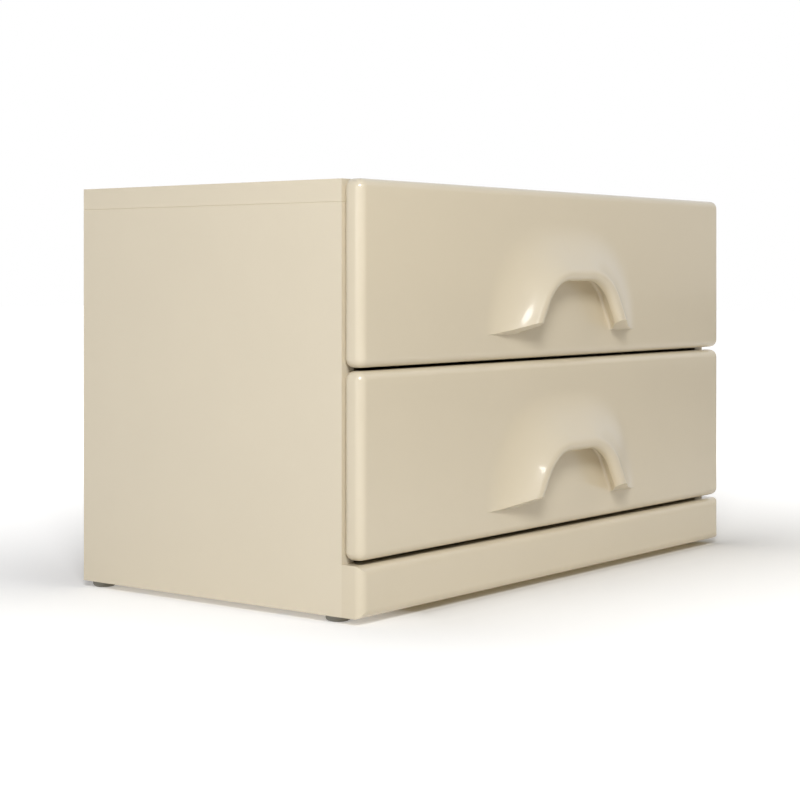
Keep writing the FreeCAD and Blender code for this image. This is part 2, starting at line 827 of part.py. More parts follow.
os.makedirs("parts", exist_ok=True)
save_case()
save_cabinet_runners()
save_drawer("lower", lower_front_bottom)
save_drawer("upper", upper_front_bottom)
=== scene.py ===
import json
import math

import bpy
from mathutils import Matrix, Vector


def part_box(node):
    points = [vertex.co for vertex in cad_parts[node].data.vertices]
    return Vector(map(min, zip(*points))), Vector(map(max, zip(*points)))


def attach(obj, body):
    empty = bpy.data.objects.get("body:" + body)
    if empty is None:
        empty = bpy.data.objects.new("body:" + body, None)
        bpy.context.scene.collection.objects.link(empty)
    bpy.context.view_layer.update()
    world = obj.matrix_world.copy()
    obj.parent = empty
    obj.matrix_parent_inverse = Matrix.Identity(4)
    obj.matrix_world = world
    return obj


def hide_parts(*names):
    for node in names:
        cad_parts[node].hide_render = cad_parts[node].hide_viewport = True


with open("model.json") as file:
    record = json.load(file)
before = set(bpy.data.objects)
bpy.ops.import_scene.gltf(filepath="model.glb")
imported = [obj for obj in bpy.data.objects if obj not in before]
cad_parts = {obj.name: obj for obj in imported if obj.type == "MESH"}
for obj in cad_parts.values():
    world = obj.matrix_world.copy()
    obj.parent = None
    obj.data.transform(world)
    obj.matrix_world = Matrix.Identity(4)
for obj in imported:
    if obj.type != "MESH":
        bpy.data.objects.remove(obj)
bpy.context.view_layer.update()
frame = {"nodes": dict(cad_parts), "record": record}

bl_info = {
    "name": "Cream lacquered drawer chest",
    "version": (1, 0, 0),
    "blender": (4, 5, 0),
    "location": "View3D > Sidebar > Chest",
    "description": "Dresses the packed model of a low chest with two moulded drawer fronts",
    "category": "Object",
}

DRAWERS = ("lower", "upper")

# Points along each stretch of the notch's outline
SIDE_STATIONS = 24
CORNER_STATIONS = 40
TOP_STATIONS = 8

# Points along each stretch of the hood's section
HOLLOW_POINTS = 6
INNER_EDGE_POINTS = 4
OUTER_EDGE_POINTS = 10
FLANK_POINTS = 60
BEVEL_SEGMENTS = 12

# The way in which reflections are painted darker and warmer: the floor and the room look so only to glossy
# rays
PAINTED_REFLECTION_SIDE = (0.43, -0.9, 0.0)
LAMP_DISTANCE = 3.2


# Colours

def linear(hex_colour):
    """Linear red, green and blue of an sRGB hex value."""
    values = [int(hex_colour[i:i + 2], 16) / 255 for i in (1, 3, 5)]
    return [v / 12.92 if v <= 0.04045 else ((v + 0.055) / 1.055) ** 2.4 for v in values]


def colour_property(name, hex_colour, description):
    return bpy.props.FloatVectorProperty(
        name=name, description=description, subtype="COLOR", size=3, min=0, max=1,
        default=linear(hex_colour))


def length_property(name, millimetres, description):
    return bpy.props.FloatProperty(
        name=name, description=description, subtype="DISTANCE", unit="LENGTH", min=0.0005,
        default=millimetres / 1000.0)


def angle_property(name, degrees, description):
    return bpy.props.FloatProperty(
        name=name, description=description, subtype="ANGLE", default=math.radians(degrees))


class ChestColours(bpy.types.PropertyGroup):
    lacquer: colour_property("Case lacquer", "#DCD2BD", "Sprayed lacquer of the case boards")
    moulding: colour_property("Front lacquer", "#D8CDB6", "Gloss lacquer of the moulded fronts")
    veneer: colour_property("Birch veneer", "#DCC7A4", "Face of the plywood drawer boxes")
    dark_ply: colour_property("Dark plies", "#A98258", "Cross-grain plies on a plywood edge")
    hardboard: colour_property("Hardboard", "#A98A63", "Back panel")
    beech: colour_property("Beech", "#CFA778", "Dowels")
    zinc: colour_property("Zinc plating", "#C9CBCC", "Runners, cages, brackets and screws")
    cast_zinc: colour_property("Cast zinc", "#A4A6A8", "Cams and their bolts")
    brass: colour_property("Brass", "#D8B56A", "Threaded inserts")
    ball: colour_property("Bearing steel", "#D9DBDD", "Balls")
    glide: colour_property("Grey plastic", "#85847F", "Glides")
    rubber: colour_property("Black rubber", "#1E1E1D", "Buffers of the runners")
    floor: colour_property("Floor", "#E6E6E6", "Paper under the chest")


class HoodSizes(bpy.types.PropertyGroup):
    """Heights are from the lower edge of a front"""
    foot: length_property("Foot", 26.5, "Height at which the hood's slanting underside meets the front")
    rim: length_property("Rim", 12.0, "How much higher the underside lies at the lip")
    half_width: length_property("Half width", 147.0, "From the middle of the front to the tip of a wing")
    top: length_property("Top", 146.5, "Height at which the hood dies into the front")
    squareness: bpy.props.FloatProperty(
        name="Squareness", description="2 makes the hood's outline an ellipse, more makes it squarer",
        min=2, default=2.5)
    flare: bpy.props.FloatProperty(
        name="Flare", description="1 makes a straight flank, more a hollow one", min=1, default=2.0)
    crest_softness: length_property("Crest softness", 2.5, "How early the flank bends over to the crest")
    notch_half_width: length_property("Notch half width", 74.5, "Half width of the notch at the rim")
    notch_top: length_property("Notch top", 81.8, "Height of the notch's flat top")
    notch_lean: angle_property("Notch lean", 31.0, "Lean of the notch's sides")
    notch_corner: length_property("Notch corner", 51.0, "Radius of the notch's upper corners")
    lip_depth: length_property("Lip depth", 9.5, "Depth of the notch's wall, from the crest back")
    lip_rounding: length_property("Lip rounding", 7.6, "Radius of the notch's outer edge")
    inner_rounding: length_property("Inner rounding", 1.5, "Radius of the lip's inner edge")
    hollow_side: length_property("Hollow at the sides", 14.5, "How far the hollow spreads past the notch")
    hollow_top: length_property("Hollow at the top", 10.0, "How far the hollow spreads over the notch")
    hollow_rounding: length_property("Hollow rounding", 3.0, "Radius where the hollow meets the front")
    edge_rounding: length_property("Edge rounding", 9.0, "Radius round the face of a front")


class StageSizes(bpy.types.PropertyGroup):
    camera_place: bpy.props.FloatVectorProperty(
        name="Camera place", description="Where the photograph's lens was", subtype="TRANSLATION",
        unit="LENGTH", size=3, default=(-1.6950, -1.2707, 0.3277))
    camera_turn: angle_property("Camera turn", 52.081, "Turn of the view to the right of straight ahead")
    lens: bpy.props.FloatProperty(
        name="Lens", description="Focal length on a 36 mm sensor", subtype="DISTANCE_CAMERA", default=83.3)
    shift: bpy.props.FloatProperty(
        name="Shift", description="How far the frame is lowered below the horizon, in frame heights",
        default=-0.1523)


# Nodes

def add(tree, kind, settings=None, links=None):
    """Add a node. Settings are its attributes, or the values of inputs by name or number;
    links give what each of its inputs comes from."""
    node = tree.nodes.new("ShaderNode" + kind)
    for key, value in (settings or {}).items():
        if isinstance(key, int) or key in node.inputs:
            node.inputs[key].default_value = value
        else:
            setattr(node, key, value)
    for key, source in (links or {}).items():
        tree.links.new(source, node.inputs[key])
    return node


def new_material(name):
    """An empty material's tree, its texture coordinates and its shader."""
    material = bpy.data.materials.new(name)
    material.use_nodes = True
    tree = material.node_tree
    tree.nodes.clear()
    place = add(tree, "TexCoord")
    shader = add(tree, "BsdfPrincipled")
    add(tree, "OutputMaterial", links={"Surface": shader.outputs["BSDF"]})
    return material, tree, place, shader


def shade(colour, factor):
    """The colour made lighter or darker, with the alpha that a colour socket wants."""
    return (*[min(1.0, c * factor) for c in colour], 1.0)


def per_metre(size_mm):
    """Scale at which a pattern's features are as large as this."""
    return 1000.0 / size_mm


# Materials

def lacquer(name, colour, roughness, coat, coat_roughness, peel_mm):
    """Two-part lacquer sprayed on primed board and baked. It is one even colour with a faint
    cloudiness, and its soft gloss is a little restless from the orange peel of the spray."""
    cloud_mm = 91.0
    wiped_mm = 25.0
    peel_height = 0.000001
    material, tree, place, shader = new_material(name)
    cloud = add(tree, "TexNoise", {"Scale": per_metre(cloud_mm), "Detail": 3.0},
                {"Vector": place.outputs["Object"]})
    share = add(tree, "MapRange", {"From Min": 0.3, "From Max": 0.7}, {"Value": cloud.outputs["Fac"]})
    tint = add(tree, "Mix", {"data_type": "RGBA", 6: shade(colour, 0.993), 7: shade(colour, 1.007)},
               {0: share.outputs["Result"]})
    tree.links.new(tint.outputs[2], shader.inputs["Base Color"])
    wiped = add(tree, "TexNoise", {"Scale": per_metre(wiped_mm), "Detail": 4.0},
                {"Vector": place.outputs["Object"]})
    gloss = add(tree, "MapRange", {"From Min": 0.3, "From Max": 0.7, "To Min": roughness * 0.97,
                                   "To Max": roughness * 1.03}, {"Value": wiped.outputs["Fac"]})
    tree.links.new(gloss.outputs["Result"], shader.inputs["Roughness"])
    peel = add(tree, "TexNoise", {"Scale": per_metre(peel_mm), "Detail": 1.0},
               {"Vector": place.outputs["Object"]})
    relief = add(tree, "Bump", {"Strength": 1.0, "Distance": peel_height}, {"Height": peel.outputs["Fac"]})
    tree.links.new(relief.outputs["Normal"], shader.inputs["Normal"])
    shader.inputs["IOR"].default_value = 1.5
    shader.inputs["Coat Weight"].default_value = coat
    shader.inputs["Coat Roughness"].default_value = coat_roughness
    return material


def plywood(name, face, dark_ply, thickness_axis, grain_axis):
    """Birch plywood, sanded and clear lacquered. Rotary-cut veneer shows long soft figure along
    its grain, and a sawn edge shows the plies, every second one darker end grain. The pores
    are drawn coarser than birch has them, so that they show."""
    figure_mm = 22.0
    pore_mm = 1.4
    ply_mm = 1.5
    grain_stretch = 0.06
    material, tree, place, shader = new_material(name)
    stretch = [1.0, 1.0, 1.0]
    stretch[grain_axis] = grain_stretch
    along = add(tree, "Mapping", {"Scale": stretch}, {"Vector": place.outputs["Object"]})
    figure = add(tree, "TexNoise", {"Scale": per_metre(figure_mm), "Detail": 5.0, "Roughness": 0.6,
                                    "Distortion": 0.6}, {"Vector": along.outputs["Vector"]})
    pores = add(tree, "TexNoise", {"Scale": per_metre(pore_mm), "Detail": 2.0},
                {"Vector": along.outputs["Vector"]})
    both = add(tree, "Math", {"operation": "MULTIPLY_ADD", 1: 0.3},
               {0: pores.outputs["Fac"], 2: figure.outputs["Fac"]})
    depth = add(tree, "MapRange", {"From Min": 0.4, "From Max": 0.9}, {"Value": both.outputs[0]})
    veneer = add(tree, "Mix", {"data_type": "RGBA", 6: shade(face, 0.86), 7: shade(face, 1.06)},
                 {0: depth.outputs["Result"]})
    axes = add(tree, "SeparateXYZ", links={"Vector": place.outputs["Object"]})
    plies = add(tree, "Math", {"operation": "MULTIPLY", 1: math.pi * per_metre(ply_mm)},
                {0: axes.outputs[thickness_axis]})
    wave = add(tree, "Math", {"operation": "SINE"}, {0: plies.outputs[0]})
    band = add(tree, "MapRange", {"From Min": -0.2, "From Max": 0.2}, {"Value": wave.outputs[0]})
    edge = add(tree, "Mix", {"data_type": "RGBA", 6: shade(face, 0.95), 7: shade(dark_ply, 1.0)},
               {0: band.outputs["Result"]})
    facing = add(tree, "SeparateXYZ", links={"Vector": place.outputs["Normal"]})
    flat = add(tree, "Math", {"operation": "ABSOLUTE"}, {0: facing.outputs[thickness_axis]})
    is_edge = add(tree, "Math", {"operation": "LESS_THAN", 1: 0.5}, {0: flat.outputs[0]})
    tint = add(tree, "Mix", {"data_type": "RGBA"},
               {0: is_edge.outputs[0], 6: veneer.outputs[2], 7: edge.outputs[2]})
    tree.links.new(tint.outputs[2], shader.inputs["Base Color"])
    rough = add(tree, "MapRange", {"To Min": 0.42, "To Max": 0.7}, {"Value": is_edge.outputs[0]})
    tree.links.new(rough.outputs["Result"], shader.inputs["Roughness"])
    relief = add(tree, "Bump", {"Strength": 0.6, "Distance": 0.00003}, {"Height": both.outputs[0]})
    tree.links.new(relief.outputs["Normal"], shader.inputs["Normal"])
    return material


def pressed_fibre(name, colour):
    """Hardboard: wet wood fibre pressed hot to a brown sheet, matt, with fibres that show as
    lighter and darker flecks. The flecks are bundles, coarser than one fibre, so that they show."""
    fleck_mm = 2.4
    patch_mm = 83.0
    material, tree, place, shader = new_material(name)
    flecks = add(tree, "TexNoise", {"Scale": per_metre(fleck_mm), "Detail": 6.0, "Roughness": 0.7,
                                    "Distortion": 1.5}, {"Vector": place.outputs["Object"]})
    patches = add(tree, "TexNoise", {"Scale": per_metre(patch_mm), "Detail": 3.0},
                  {"Vector": place.outputs["Object"]})
    both = add(tree, "Math", {"operation": "MULTIPLY_ADD", 1: 0.4},
               {0: patches.outputs["Fac"], 2: flecks.outputs["Fac"]})
    share = add(tree, "MapRange", {"From Min": 0.5, "From Max": 0.9}, {"Value": both.outputs[0]})
    tint = add(tree, "Mix", {"data_type": "RGBA", 6: shade(colour, 0.8), 7: shade(colour, 1.15)},
               {0: share.outputs["Result"]})
    tree.links.new(tint.outputs[2], shader.inputs["Base Color"])
    relief = add(tree, "Bump", {"Strength": 0.7, "Distance": 0.00006}, {"Height": flecks.outputs["Fac"]})
    tree.links.new(relief.outputs["Normal"], shader.inputs["Normal"])
    shader.inputs["Roughness"].default_value = 0.68
    return material


def turned_wood(name, colour):
    """Beech rod cut to dowels: pale pink-brown with short dark rays, dry and unpolished. The
    rays are drawn twice as wide as beech has them, so that they show."""
    ray_mm = 1.1
    material, tree, place, shader = new_material(name)
    along = add(tree, "Mapping", {"Scale": (1.0, 1.0, 0.15)}, {"Vector": place.outputs["Object"]})
    rays = add(tree, "TexNoise", {"Scale": per_metre(ray_mm), "Detail": 3.0},
               {"Vector": along.outputs["Vector"]})
    share = add(tree, "MapRange", {"From Min": 0.35, "From Max": 0.65}, {"Value": rays.outputs["Fac"]})
    tint = add(tree, "Mix", {"data_type": "RGBA", 6: shade(colour, 0.8), 7: shade(colour, 1.08)},
               {0: share.outputs["Result"]})
    tree.links.new(tint.outputs[2], shader.inputs["Base Color"])
    relief = add(tree, "Bump", {"Strength": 0.8, "Distance": 0.00005}, {"Height": rays.outputs["Fac"]})
    tree.links.new(relief.outputs["Normal"], shader.inputs["Normal"])
    shader.inputs["Roughness"].default_value = 0.62
    return material


def bare_metal(name, colour, roughness, grain_mm, stretch, relief_mm):
    """Metal whose surface keeps the marks of its making: stretch draws the marks out, as
    rolling does, and equal values leave the even skin of plating or casting. The marks are
    drawn coarser than they are, so that they show."""
    material, tree, place, shader = new_material(name)
    along = add(tree, "Mapping", {"Scale": stretch}, {"Vector": place.outputs["Object"]})
    marks = add(tree, "TexNoise", {"Scale": per_metre(grain_mm), "Detail": 4.0, "Roughness": 0.6},
                {"Vector": along.outputs["Vector"]})
    share = add(tree, "MapRange", {"From Min": 0.3, "From Max": 0.7}, {"Value": marks.outputs["Fac"]})
    tint = add(tree, "Mix", {"data_type": "RGBA", 6: shade(colour, 0.88), 7: shade(colour, 1.05)},
               {0: share.outputs["Result"]})
    tree.links.new(tint.outputs[2], shader.inputs["Base Color"])
    gloss = add(tree, "MapRange", {"From Min": 0.3, "From Max": 0.7, "To Min": roughness * 0.75,
                                   "To Max": roughness * 1.3}, {"Value": marks.outputs["Fac"]})
    tree.links.new(gloss.outputs["Result"], shader.inputs["Roughness"])
    relief = add(tree, "Bump", {"Strength": 0.8, "Distance": relief_mm / 1000.0},
                 {"Height": marks.outputs["Fac"]})
    tree.links.new(relief.outputs["Normal"], shader.inputs["Normal"])
    shader.inputs["Metallic"].default_value = 1.0
    return material


def moulded(name, colour, roughness, grain_mm):
    """Plastic or rubber from a mould: one colour right through, with the fine even texture of
    the mould's wall, which softens its shine."""
    material, tree, place, shader = new_material(name)
    texture = add(tree, "TexNoise", {"Scale": per_metre(grain_mm), "Detail": 2.0},
                  {"Vector": place.outputs["Object"]})
    tint = add(tree, "Mix", {"data_type": "RGBA", 6: shade(colour, 0.93), 7: shade(colour, 1.07)},
               {0: texture.outputs["Fac"]})
    tree.links.new(tint.outputs[2], shader.inputs["Base Color"])
    gloss = add(tree, "MapRange", {"To Min": roughness * 0.85, "To Max": roughness * 1.15},
                {"Value": texture.outputs["Fac"]})
    tree.links.new(gloss.outputs["Result"], shader.inputs["Roughness"])
    relief = add(tree, "Bump", {"Strength": 0.7, "Distance": 0.00002}, {"Height": texture.outputs["Fac"]})
    tree.links.new(relief.outputs["Normal"], shader.inputs["Normal"])
    return material


class CHEST_OT_finishes(bpy.types.Operator):
    """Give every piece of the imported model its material"""
    bl_idname = "chest.finishes"
    bl_label = "Finishes"

    def execute(self, context):
        c = context.scene.chest_colours
        even = (1.0, 1.0, 1.0)
        drawn_out = (1.0, 0.03, 1.0)
        made = {
            "cream_lacquer": lacquer("case_lacquer", c.lacquer, 0.34, 0.3, 0.12, 1.8),
            "cream_moulding": lacquer("front_lacquer", c.moulding, 0.3, 0.5, 0.1, 2.4),
            "birch_plywood": plywood("birch_plywood_sides", c.veneer, c.dark_ply, 0, 1),
            "hardboard": pressed_fibre("hardboard", c.hardboard),
            "beech": turned_wood("beech", c.beech),
            "runner_steel": bare_metal("rolled_zinc_plated_steel", c.zinc, 0.32, 1.2, drawn_out, 0.01),
            "zinc_steel": bare_metal("zinc_plated_steel", c.zinc, 0.3, 0.8, even, 0.008),
            "zinc_alloy": bare_metal("cast_zinc", c.cast_zinc, 0.42, 0.5, even, 0.02),
            "brass": bare_metal("turned_brass", c.brass, 0.26, 0.4, even, 0.008),
            "ball_steel": bare_metal("bearing_steel", c.ball, 0.07, 0.6, even, 0.001),
            "grey_plastic": moulded("grey_plastic", c.glide, 0.5, 0.4),
            "black_rubber": moulded("black_rubber", c.rubber, 0.72, 0.7),
        }
        for part in frame["record"]["subparts"]:
            for slot in frame["nodes"][part["node"]].material_slots:
                slot.material = made[part["material_slot"]]
        across = plywood("birch_plywood_ends", c.veneer, c.dark_ply, 1, 0)
        level = plywood("birch_plywood_base", c.veneer, c.dark_ply, 2, 0)
        for drawer in DRAWERS:
            for board, material in (("box_front", across), ("box_back", across), ("box_bottom", level)):
                frame["nodes"][drawer + "_" + board].material_slots[0].material = material
        return {"FINISHED"}


# Fronts

class Notch:
    """The notch's outline on a front, taken as stations: a point and the direction away from
    the notch. Lengths are in metres, X from the middle and Z from the front's lower edge."""

    def __init__(self, sizes):
        self.lean = sizes.notch_lean
        self.radius = sizes.notch_corner
        self.centre_z = sizes.notch_top - self.radius
        rim_z = sizes.foot + sizes.rim
        side_x = sizes.notch_half_width - math.tan(self.lean) * (self.centre_z - rim_z)
        self.centre_x = side_x - self.radius / math.cos(self.lean)

    def right_side(self, low):
        """Stations from z = low up the leaning side, round the corner and to the middle."""
        stations = []
        end_z = self.centre_z + self.radius * math.sin(self.lean)
        end_x = self.centre_x + self.radius * math.cos(self.lean)
        for i in range(SIDE_STATIONS):
            z = low + (end_z - low) * i / SIDE_STATIONS
            stations.append((end_x + math.tan(self.lean) * (end_z - z), z, self.lean))
        for i in range(CORNER_STATIONS):
            angle = self.lean + (math.pi / 2 - self.lean) * i / (CORNER_STATIONS - 1)
            stations.append((self.centre_x + self.radius * math.cos(angle),
                             self.centre_z + self.radius * math.sin(angle), angle))
        for i in range(1, TOP_STATIONS + 1):
            x = self.centre_x * (1 - i / TOP_STATIONS)
            stations.append((x, self.centre_z + self.radius, math.pi / 2))
        return stations

    def stations(self, low):
        """Stations from z = low on the right, over the top and down to z = low on the left."""
        right = self.right_side(low)
        left = [(-x, z, math.pi - angle) for x, z, angle in right[:-1]]
        return right + list(reversed(left))


def foot_distance(sizes, x, z, angle):
    """How far it is from a station to the outline along which the hood dies into the front.
    The span that holds the outline is halved until it is far below a hair's width."""
    halvings = 30
    near = 0.0
    far = 0.3
    for _ in range(halvings):
        middle = (near + far) / 2
        across = abs(x + middle * math.cos(angle)) / sizes.half_width
        up = max(z + middle * math.sin(angle) - sizes.foot, 0.0) / (sizes.top - sizes.foot)
        if across ** sizes.squareness + up ** sizes.squareness < 1.0:
            near = middle
        else:
            far = middle
    return near


def arc(centre, radius, start, end, count):
    """Points (w, d) on an arc, with angles from +w towards +d."""
    return [(centre[0] + radius * math.cos(start + (end - start) * i / count),
             centre[1] + radius * math.sin(start + (end - start) * i / count)) for i in range(count + 1)]


def hood_section(sizes, reach, foot_at, angle):
    """Section through the hood as points (w, d): w is the distance out from the notch, d the
    distance in front of the front's face. It goes from the hollow round the lip to the foot.
    The flank's points lie closer together near the lip, where it bends over to the crest in
    a short parabola, and the last one lies just inside the slab, so that no slit shows."""
    crowding = 1.35
    past_foot = 0.0005
    behind_face = 0.0001
    spread = sizes.hollow_side + (sizes.hollow_top - sizes.hollow_side) * math.sin(angle) ** 4
    lip_back = reach - sizes.lip_depth
    slope = math.atan2(lip_back, spread)
    root = sizes.hollow_rounding
    tangent = root / math.tan(slope / 2)
    points = arc((spread - tangent, root), root, -math.pi / 2, math.pi / 2 - slope, HOLLOW_POINTS)
    inner = sizes.inner_rounding
    from_edge = inner * math.tan((math.pi / 2 - slope) / 2)
    points += arc((inner, lip_back + from_edge), inner, -math.pi / 2 - slope, -math.pi, INNER_EDGE_POINTS)
    outer = sizes.lip_rounding
    points += arc((outer, reach - outer), outer, math.pi, math.pi / 2, OUTER_EDGE_POINTS)
    flank_width = foot_at - outer
    soft = sizes.crest_softness
    for i in range(1, FLANK_POINTS + 1):
        share = (i / FLANK_POINTS) ** crowding
        flank = (reach + soft) * (1.0 - share) ** sizes.flare
        near = max(soft - abs(flank - reach), 0.0)
        points.append((outer + flank_width * share, min(flank, reach) - near * near / (4.0 * soft)))
    points.append((foot_at + past_foot, -behind_face))
    return points


class CHEST_OT_fronts(bpy.types.Operator):
    """Model a drawer front with its flared hood and copy it to the other drawer"""
    bl_idname = "chest.fronts"
    bl_label = "Drawer fronts"

    def execute(self, context):
        sizes = context.scene.chest_hood
        lo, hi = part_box("lower_front_moulding")
        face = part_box("plinth_front")[0][1]
        reach = face - lo[1]
        slab = self.slab(lo, hi, face, sizes.edge_rounding)
        hood = self.hood(sizes, reach, face, lo[2])
        bpy.ops.object.select_all(action="DESELECT")
        hood.select_set(True)
        slab.select_set(True)
        context.view_layer.objects.active = slab
        bpy.ops.object.join()
        bpy.ops.object.shade_smooth_by_angle(angle=math.radians(35))
        self.finish(slab, "lower")
        bpy.ops.object.select_all(action="DESELECT")
        slab.select_set(True)
        bpy.ops.object.duplicate()
        upper = context.object
        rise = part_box("upper_front_moulding")[0][2] - lo[2]
        bpy.ops.transform.translate(value=(0, 0, rise))
        bpy.ops.object.transform_apply(location=True, rotation=False, scale=False)
        self.finish(upper, "upper")
        return {"FINISHED"}

    def slab(self, lo, hi, face, rounding):
        """The flat board of a front, with all its edges rounded."""
        bpy.ops.object.select_all(action="DESELECT")
        middle = [(lo[0] + hi[0]) / 2, (face + hi[1]) / 2, (lo[2] + hi[2]) / 2]
        bpy.ops.mesh.primitive_cube_add(size=1.0, location=middle)
        slab = bpy.context.object
        slab.scale = (hi[0] - lo[0], hi[1] - face, hi[2] - lo[2])
        bpy.ops.object.transform_apply(location=True, rotation=True, scale=True)
        bpy.ops.object.mode_set(mode="EDIT")
        bpy.ops.mesh.select_mode(type="EDGE")
        bpy.ops.mesh.select_all(action="SELECT")
        bpy.ops.mesh.bevel(offset=rounding, offset_type="OFFSET", segments=BEVEL_SEGMENTS, profile=0.5)
        bpy.ops.object.mode_set(mode="OBJECT")
        return slab

    def hood(self, sizes, reach, face, bottom):
        """The hood's skin, laid round the notch section by section and cut off along the
        underside's plane. A flared skin like this has no plain solid to start from."""
        vertices = []
        faces = []
        below_the_front = -0.03
        stations = Notch(sizes).stations(below_the_front)
        for x, z, angle in stations:
            foot_at = foot_distance(sizes, x, z, angle)
            for w, d in hood_section(sizes, reach, foot_at, angle):
                vertices.append((x + w * math.cos(angle), face - d, bottom + z + w * math.sin(angle)))
        row = len(vertices) // len(stations)
        for i in range(len(stations) - 1):
            for j in range(row - 1):
                first = i * row + j
                faces.append((first, first + row, first + row + 1, first + 1))
        mesh = bpy.data.meshes.new("hood")
        mesh.from_pydata(vertices, [], faces)
        hood = bpy.data.objects.new("hood", mesh)
        bpy.context.scene.collection.objects.link(hood)
        bpy.ops.object.select_all(action="DESELECT")
        hood.select_set(True)
        bpy.context.view_layer.objects.active = hood
        bpy.ops.object.mode_set(mode="EDIT")
        bpy.ops.mesh.select_all(action="SELECT")
        bpy.ops.mesh.normals_make_consistent(inside=False)
        slant = sizes.rim / reach
        foot_z = bottom + sizes.foot
        bpy.ops.mesh.bisect(plane_co=(0, face, foot_z), plane_no=(0, slant, 1.0),
                            clear_inner=True, use_fill=False, threshold=0.000001)
        bpy.ops.object.mode_set(mode="OBJECT")
        for side in (-1, 1):
            self.close_leg(hood, side, face, foot_z, slant)
        return hood

    def close_leg(self, hood, side, face, foot_z, slant):
        """Close the underside of the left (-1) or right (1) leg."""
        tolerance = 0.00001

        def on_underside(vertex):
            rise = vertex.co.z - foot_z - slant * (face - vertex.co.y)
            return abs(rise) < tolerance and side * vertex.co.x > 0

        bpy.ops.object.mode_set(mode="EDIT")
        bpy.ops.mesh.select_mode(type="VERT")
        bpy.ops.mesh.select_all(action="DESELECT")
        bpy.ops.object.mode_set(mode="OBJECT")
        for vertex in hood.data.vertices:
            vertex.select = on_underside(vertex)
        bpy.ops.object.mode_set(mode="EDIT")
        bpy.ops.mesh.edge_face_add()
        bpy.ops.mesh.select_all(action="SELECT")
        bpy.ops.mesh.normals_make_consistent(inside=False)
        bpy.ops.object.mode_set(mode="OBJECT")

    def finish(self, front, drawer):
        """Name and lacquer a front and hand it over as its drawer's."""
        front.name = drawer + "_front"
        front.data.name = front.name
        front.data.materials.clear()
        front.data.materials.append(bpy.data.materials["front_lacquer"])
        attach(front, drawer + "_drawer")
        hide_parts(drawer + "_front_moulding")


# Stage

def seen_share(tree):
    """1 for what the camera, a reflection or a transparent piece sees, 0 for plain light."""
    ray = add(tree, "LightPath")
    direct = add(tree, "Math", {"operation": "MAXIMUM"},
                 {0: ray.outputs["Is Camera Ray"], 1: ray.outputs["Is Glossy Ray"]})
    return add(tree, "Math", {"operation": "MAXIMUM"},
               {0: direct.outputs[0], 1: ray.outputs["Is Transmission Ray"]}).outputs[0]


def area_light(name, azimuth, height_angle, size, power, colour=(1.0, 1.0, 1.0)):
    """Round soft box that looks at the chest. Azimuth and height angle are in degrees, the
    azimuth from straight in front, to the right."""
    data = bpy.data.lights.new(name, "AREA")
    data.shape = "DISK"
    data.size = size
    data.energy = power
    data.color = colour
    lamp = bpy.data.objects.new(name, data)
    aim = Vector((0, 0, 0.2))
    turn = math.radians(azimuth)
    climb = math.radians(height_angle)
    level = math.cos(climb)
    away = Vector((level * math.sin(turn), -level * math.cos(turn), math.sin(climb)))
    lamp.location = aim + away * LAMP_DISTANCE
    lamp.rotation_euler = (-away).to_track_quat("-Z", "Y").to_euler()
    bpy.context.scene.collection.objects.link(lamp)
    return lamp


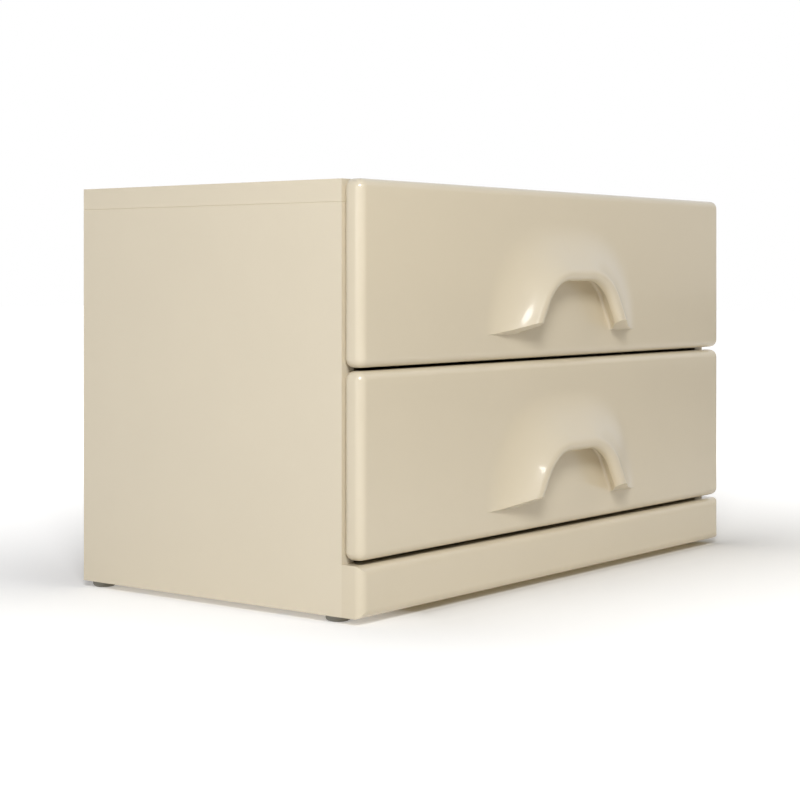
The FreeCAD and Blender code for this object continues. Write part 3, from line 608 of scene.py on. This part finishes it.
class CHEST_OT_stage(bpy.types.Operator):
    """Set up the floor, the light and the camera"""
    bl_idname = "chest.stage"
    bl_label = "Stage"

    def execute(self, context):
        self.floor(context.scene.chest_colours)
        self.room(context.scene)
        area_light("key", azimuth=-52, height_angle=30, size=0.9, power=67.0)
        area_light("small_lamp_in_front", azimuth=-3, height_angle=25, size=0.26, power=4.0)
        wall = area_light("wall_on_the_right", azimuth=60, height_angle=30, size=2.2, power=18.0,
                          colour=(1.0, 0.92, 0.76))
        wall.visible_glossy = False
        area_light("low_left_fill", azimuth=-90, height_angle=10, size=1.4, power=9.0)
        self.camera(context.scene, context.scene.chest_stage)
        return {"FINISHED"}

    def floor(self, colours):
        """White paper: matt, and lit from within just enough to read white with a shadow. Its own light
        grows with the root of the distance from the chest's footprint, so the shade close to the plinth
        is painted into its glow. Reflections show it darker far in front of the chest, a painted
        reflection. As a light it glows warm, a painted bounce light on the chest."""
        footprint_middle = (0.05, 0.0, 0.0)
        footprint_half = (0.3, 0.177, 0.0)
        brightest = 1.05
        as_a_light = 0.2
        bpy.ops.object.select_all(action="DESELECT")
        bpy.ops.mesh.primitive_plane_add(size=30.0, location=(0, 0, 0))
        floor = bpy.context.object
        floor.name = "floor"
        material = bpy.data.materials.new("floor_paper")
        material.use_nodes = True
        tree = material.node_tree
        tree.nodes.clear()
        place = add(tree, "TexCoord")
        # The glow is lowered near the chest's footprint: a painted shade along the plinth
        centred = add(tree, "VectorMath", {"operation": "SUBTRACT", 1: footprint_middle},
                      {0: place.outputs["Object"]})
        folded = add(tree, "VectorMath", {"operation": "ABSOLUTE"}, {0: centred.outputs["Vector"]})
        past_edge = add(tree, "VectorMath", {"operation": "SUBTRACT", 1: footprint_half},
                        {0: folded.outputs["Vector"]})
        outside = add(tree, "VectorMath", {"operation": "MAXIMUM", 1: (0.0, 0.0, 0.0)},
                      {0: past_edge.outputs["Vector"]})
        away = add(tree, "VectorMath", {"operation": "LENGTH"}, {0: outside.outputs["Vector"]})
        root = add(tree, "Math", {"operation": "SQRT"}, {0: away.outputs["Value"]})
        glow_with_painted_shade = add(tree, "MapRange", {"To Max": brightest}, {"Value": root.outputs[0]})
        # Far in front of the chest the floor is darker in reflections only: a painted reflection on the
        # fronts
        ahead = add(tree, "VectorMath", {"operation": "DOT_PRODUCT", 1: PAINTED_REFLECTION_SIDE},
                    {0: place.outputs["Object"]})
        painted_reflection_dimming = add(tree, "MapRange", {"From Min": 0.5, "From Max": 1.2, "To Min": 1.0, "To Max": 0.4},
                     {"Value": ahead.outputs["Value"]})
        ray = add(tree, "LightPath")
        in_mirrors = add(tree, "Math", {"operation": "POWER"},
                         {0: painted_reflection_dimming.outputs["Result"], 1: ray.outputs["Is Glossy Ray"]})
        white = add(tree, "Math", {"operation": "MULTIPLY"},
                    {0: glow_with_painted_shade.outputs["Result"], 1: in_mirrors.outputs[0]})
        seen_by = seen_share(tree)
        strength = add(tree, "MapRange", {"To Min": as_a_light},
                       {"Value": seen_by, "To Max": white.outputs[0]})
        # Warm as a light, white to the eye: the floor's glow as a light is a painted warm bounce light on
        # the chest
        tint = add(tree, "Mix", {"data_type": "RGBA", 6: (1.0, 0.85, 0.6, 1.0), 7: (1.0, 1.0, 1.0, 1.0)},
                   {0: seen_by})
        glow = add(tree, "Emission",
                   links={"Color": tint.outputs[2], "Strength": strength.outputs["Result"]})
        paper = add(tree, "BsdfDiffuse", {"Color": shade(colours.floor, 1.0)})
        both = add(tree, "AddShader", links={0: glow.outputs[0], 1: paper.outputs[0]})
        add(tree, "OutputMaterial", links={"Surface": both.outputs[0]})
        floor.data.materials.append(material)

    def room(self, scene):
        """White all round for the eye, dim as a light. Reflections show its one warm side, a painted warm
        reflection on the fronts.
        """
        as_a_light = 0.04
        warm = (0.75, 0.66, 0.52, 1.0)
        world = bpy.data.worlds.new("soft_room")
        scene.world = world
        world.use_nodes = True
        tree = world.node_tree
        tree.nodes.clear()
        strength = add(tree, "MapRange", {"To Min": as_a_light}, {"Value": seen_share(tree)})
        direction = add(tree, "TexCoord")
        ahead = add(tree, "VectorMath", {"operation": "DOT_PRODUCT", 1: PAINTED_REFLECTION_SIDE},
                    {0: direction.outputs["Generated"]})
        share = add(tree, "MapRange", {"From Min": 0.7, "From Max": 0.95},
                    {"Value": ahead.outputs["Value"]})
        ray = add(tree, "LightPath")
        mirrored = add(tree, "Math", {"operation": "MULTIPLY"},
                       {0: share.outputs["Result"], 1: ray.outputs["Is Glossy Ray"]})
        # The room turns warm only for glossy rays: a painted warm reflection
        room_with_painted_reflection = add(tree, "Mix", {"data_type": "RGBA", 6: (1.0, 1.0, 1.0, 1.0), 7: warm},
                    {0: mirrored.outputs[0]})
        sky = add(tree, "Background",
                  links={"Color": room_with_painted_reflection.outputs[2], "Strength": strength.outputs["Result"]})
        add(tree, "OutputWorld", links={"Surface": sky.outputs[0]})

    def camera(self, scene, sizes):
        """The photograph's view. The lens looks level, and the frame is shifted down."""
        camera = bpy.data.cameras.new("camera")
        camera.sensor_width = 36.0
        camera.lens = sizes.lens
        camera.shift_y = sizes.shift
        camera.clip_end = 100.0
        eye = bpy.data.objects.new("camera", camera)
        eye.location = sizes.camera_place
        eye.rotation_euler = (math.pi / 2, 0, -sizes.camera_turn)
        scene.collection.objects.link(eye)
        scene.camera = eye
        scene.view_settings.view_transform = "Standard"


class CHEST_PT_panel(bpy.types.Panel):
    """Buttons for the three operators"""
    bl_label = "Chest"
    bl_idname = "CHEST_PT_panel"
    bl_space_type = "VIEW_3D"
    bl_region_type = "UI"
    bl_category = "Chest"

    def draw(self, context):
        for operator in OPERATORS:
            self.layout.operator(operator.bl_idname)


OPERATORS = (CHEST_OT_finishes, CHEST_OT_fronts, CHEST_OT_stage)
GROUPS = {"chest_colours": ChestColours, "chest_hood": HoodSizes, "chest_stage": StageSizes}


def register():
    for cls in (*GROUPS.values(), *OPERATORS, CHEST_PT_panel):
        bpy.utils.register_class(cls)
    for name, group in GROUPS.items():
        setattr(bpy.types.Scene, name, bpy.props.PointerProperty(type=group))


def unregister():
    for name in GROUPS:
        delattr(bpy.types.Scene, name)
    for cls in reversed((*GROUPS.values(), *OPERATORS, CHEST_PT_panel)):
        bpy.utils.unregister_class(cls)


def main():
    register()
    bpy.ops.chest.finishes()
    bpy.ops.chest.fronts()
    bpy.ops.chest.stage()


if __name__ == "__main__":
    main()
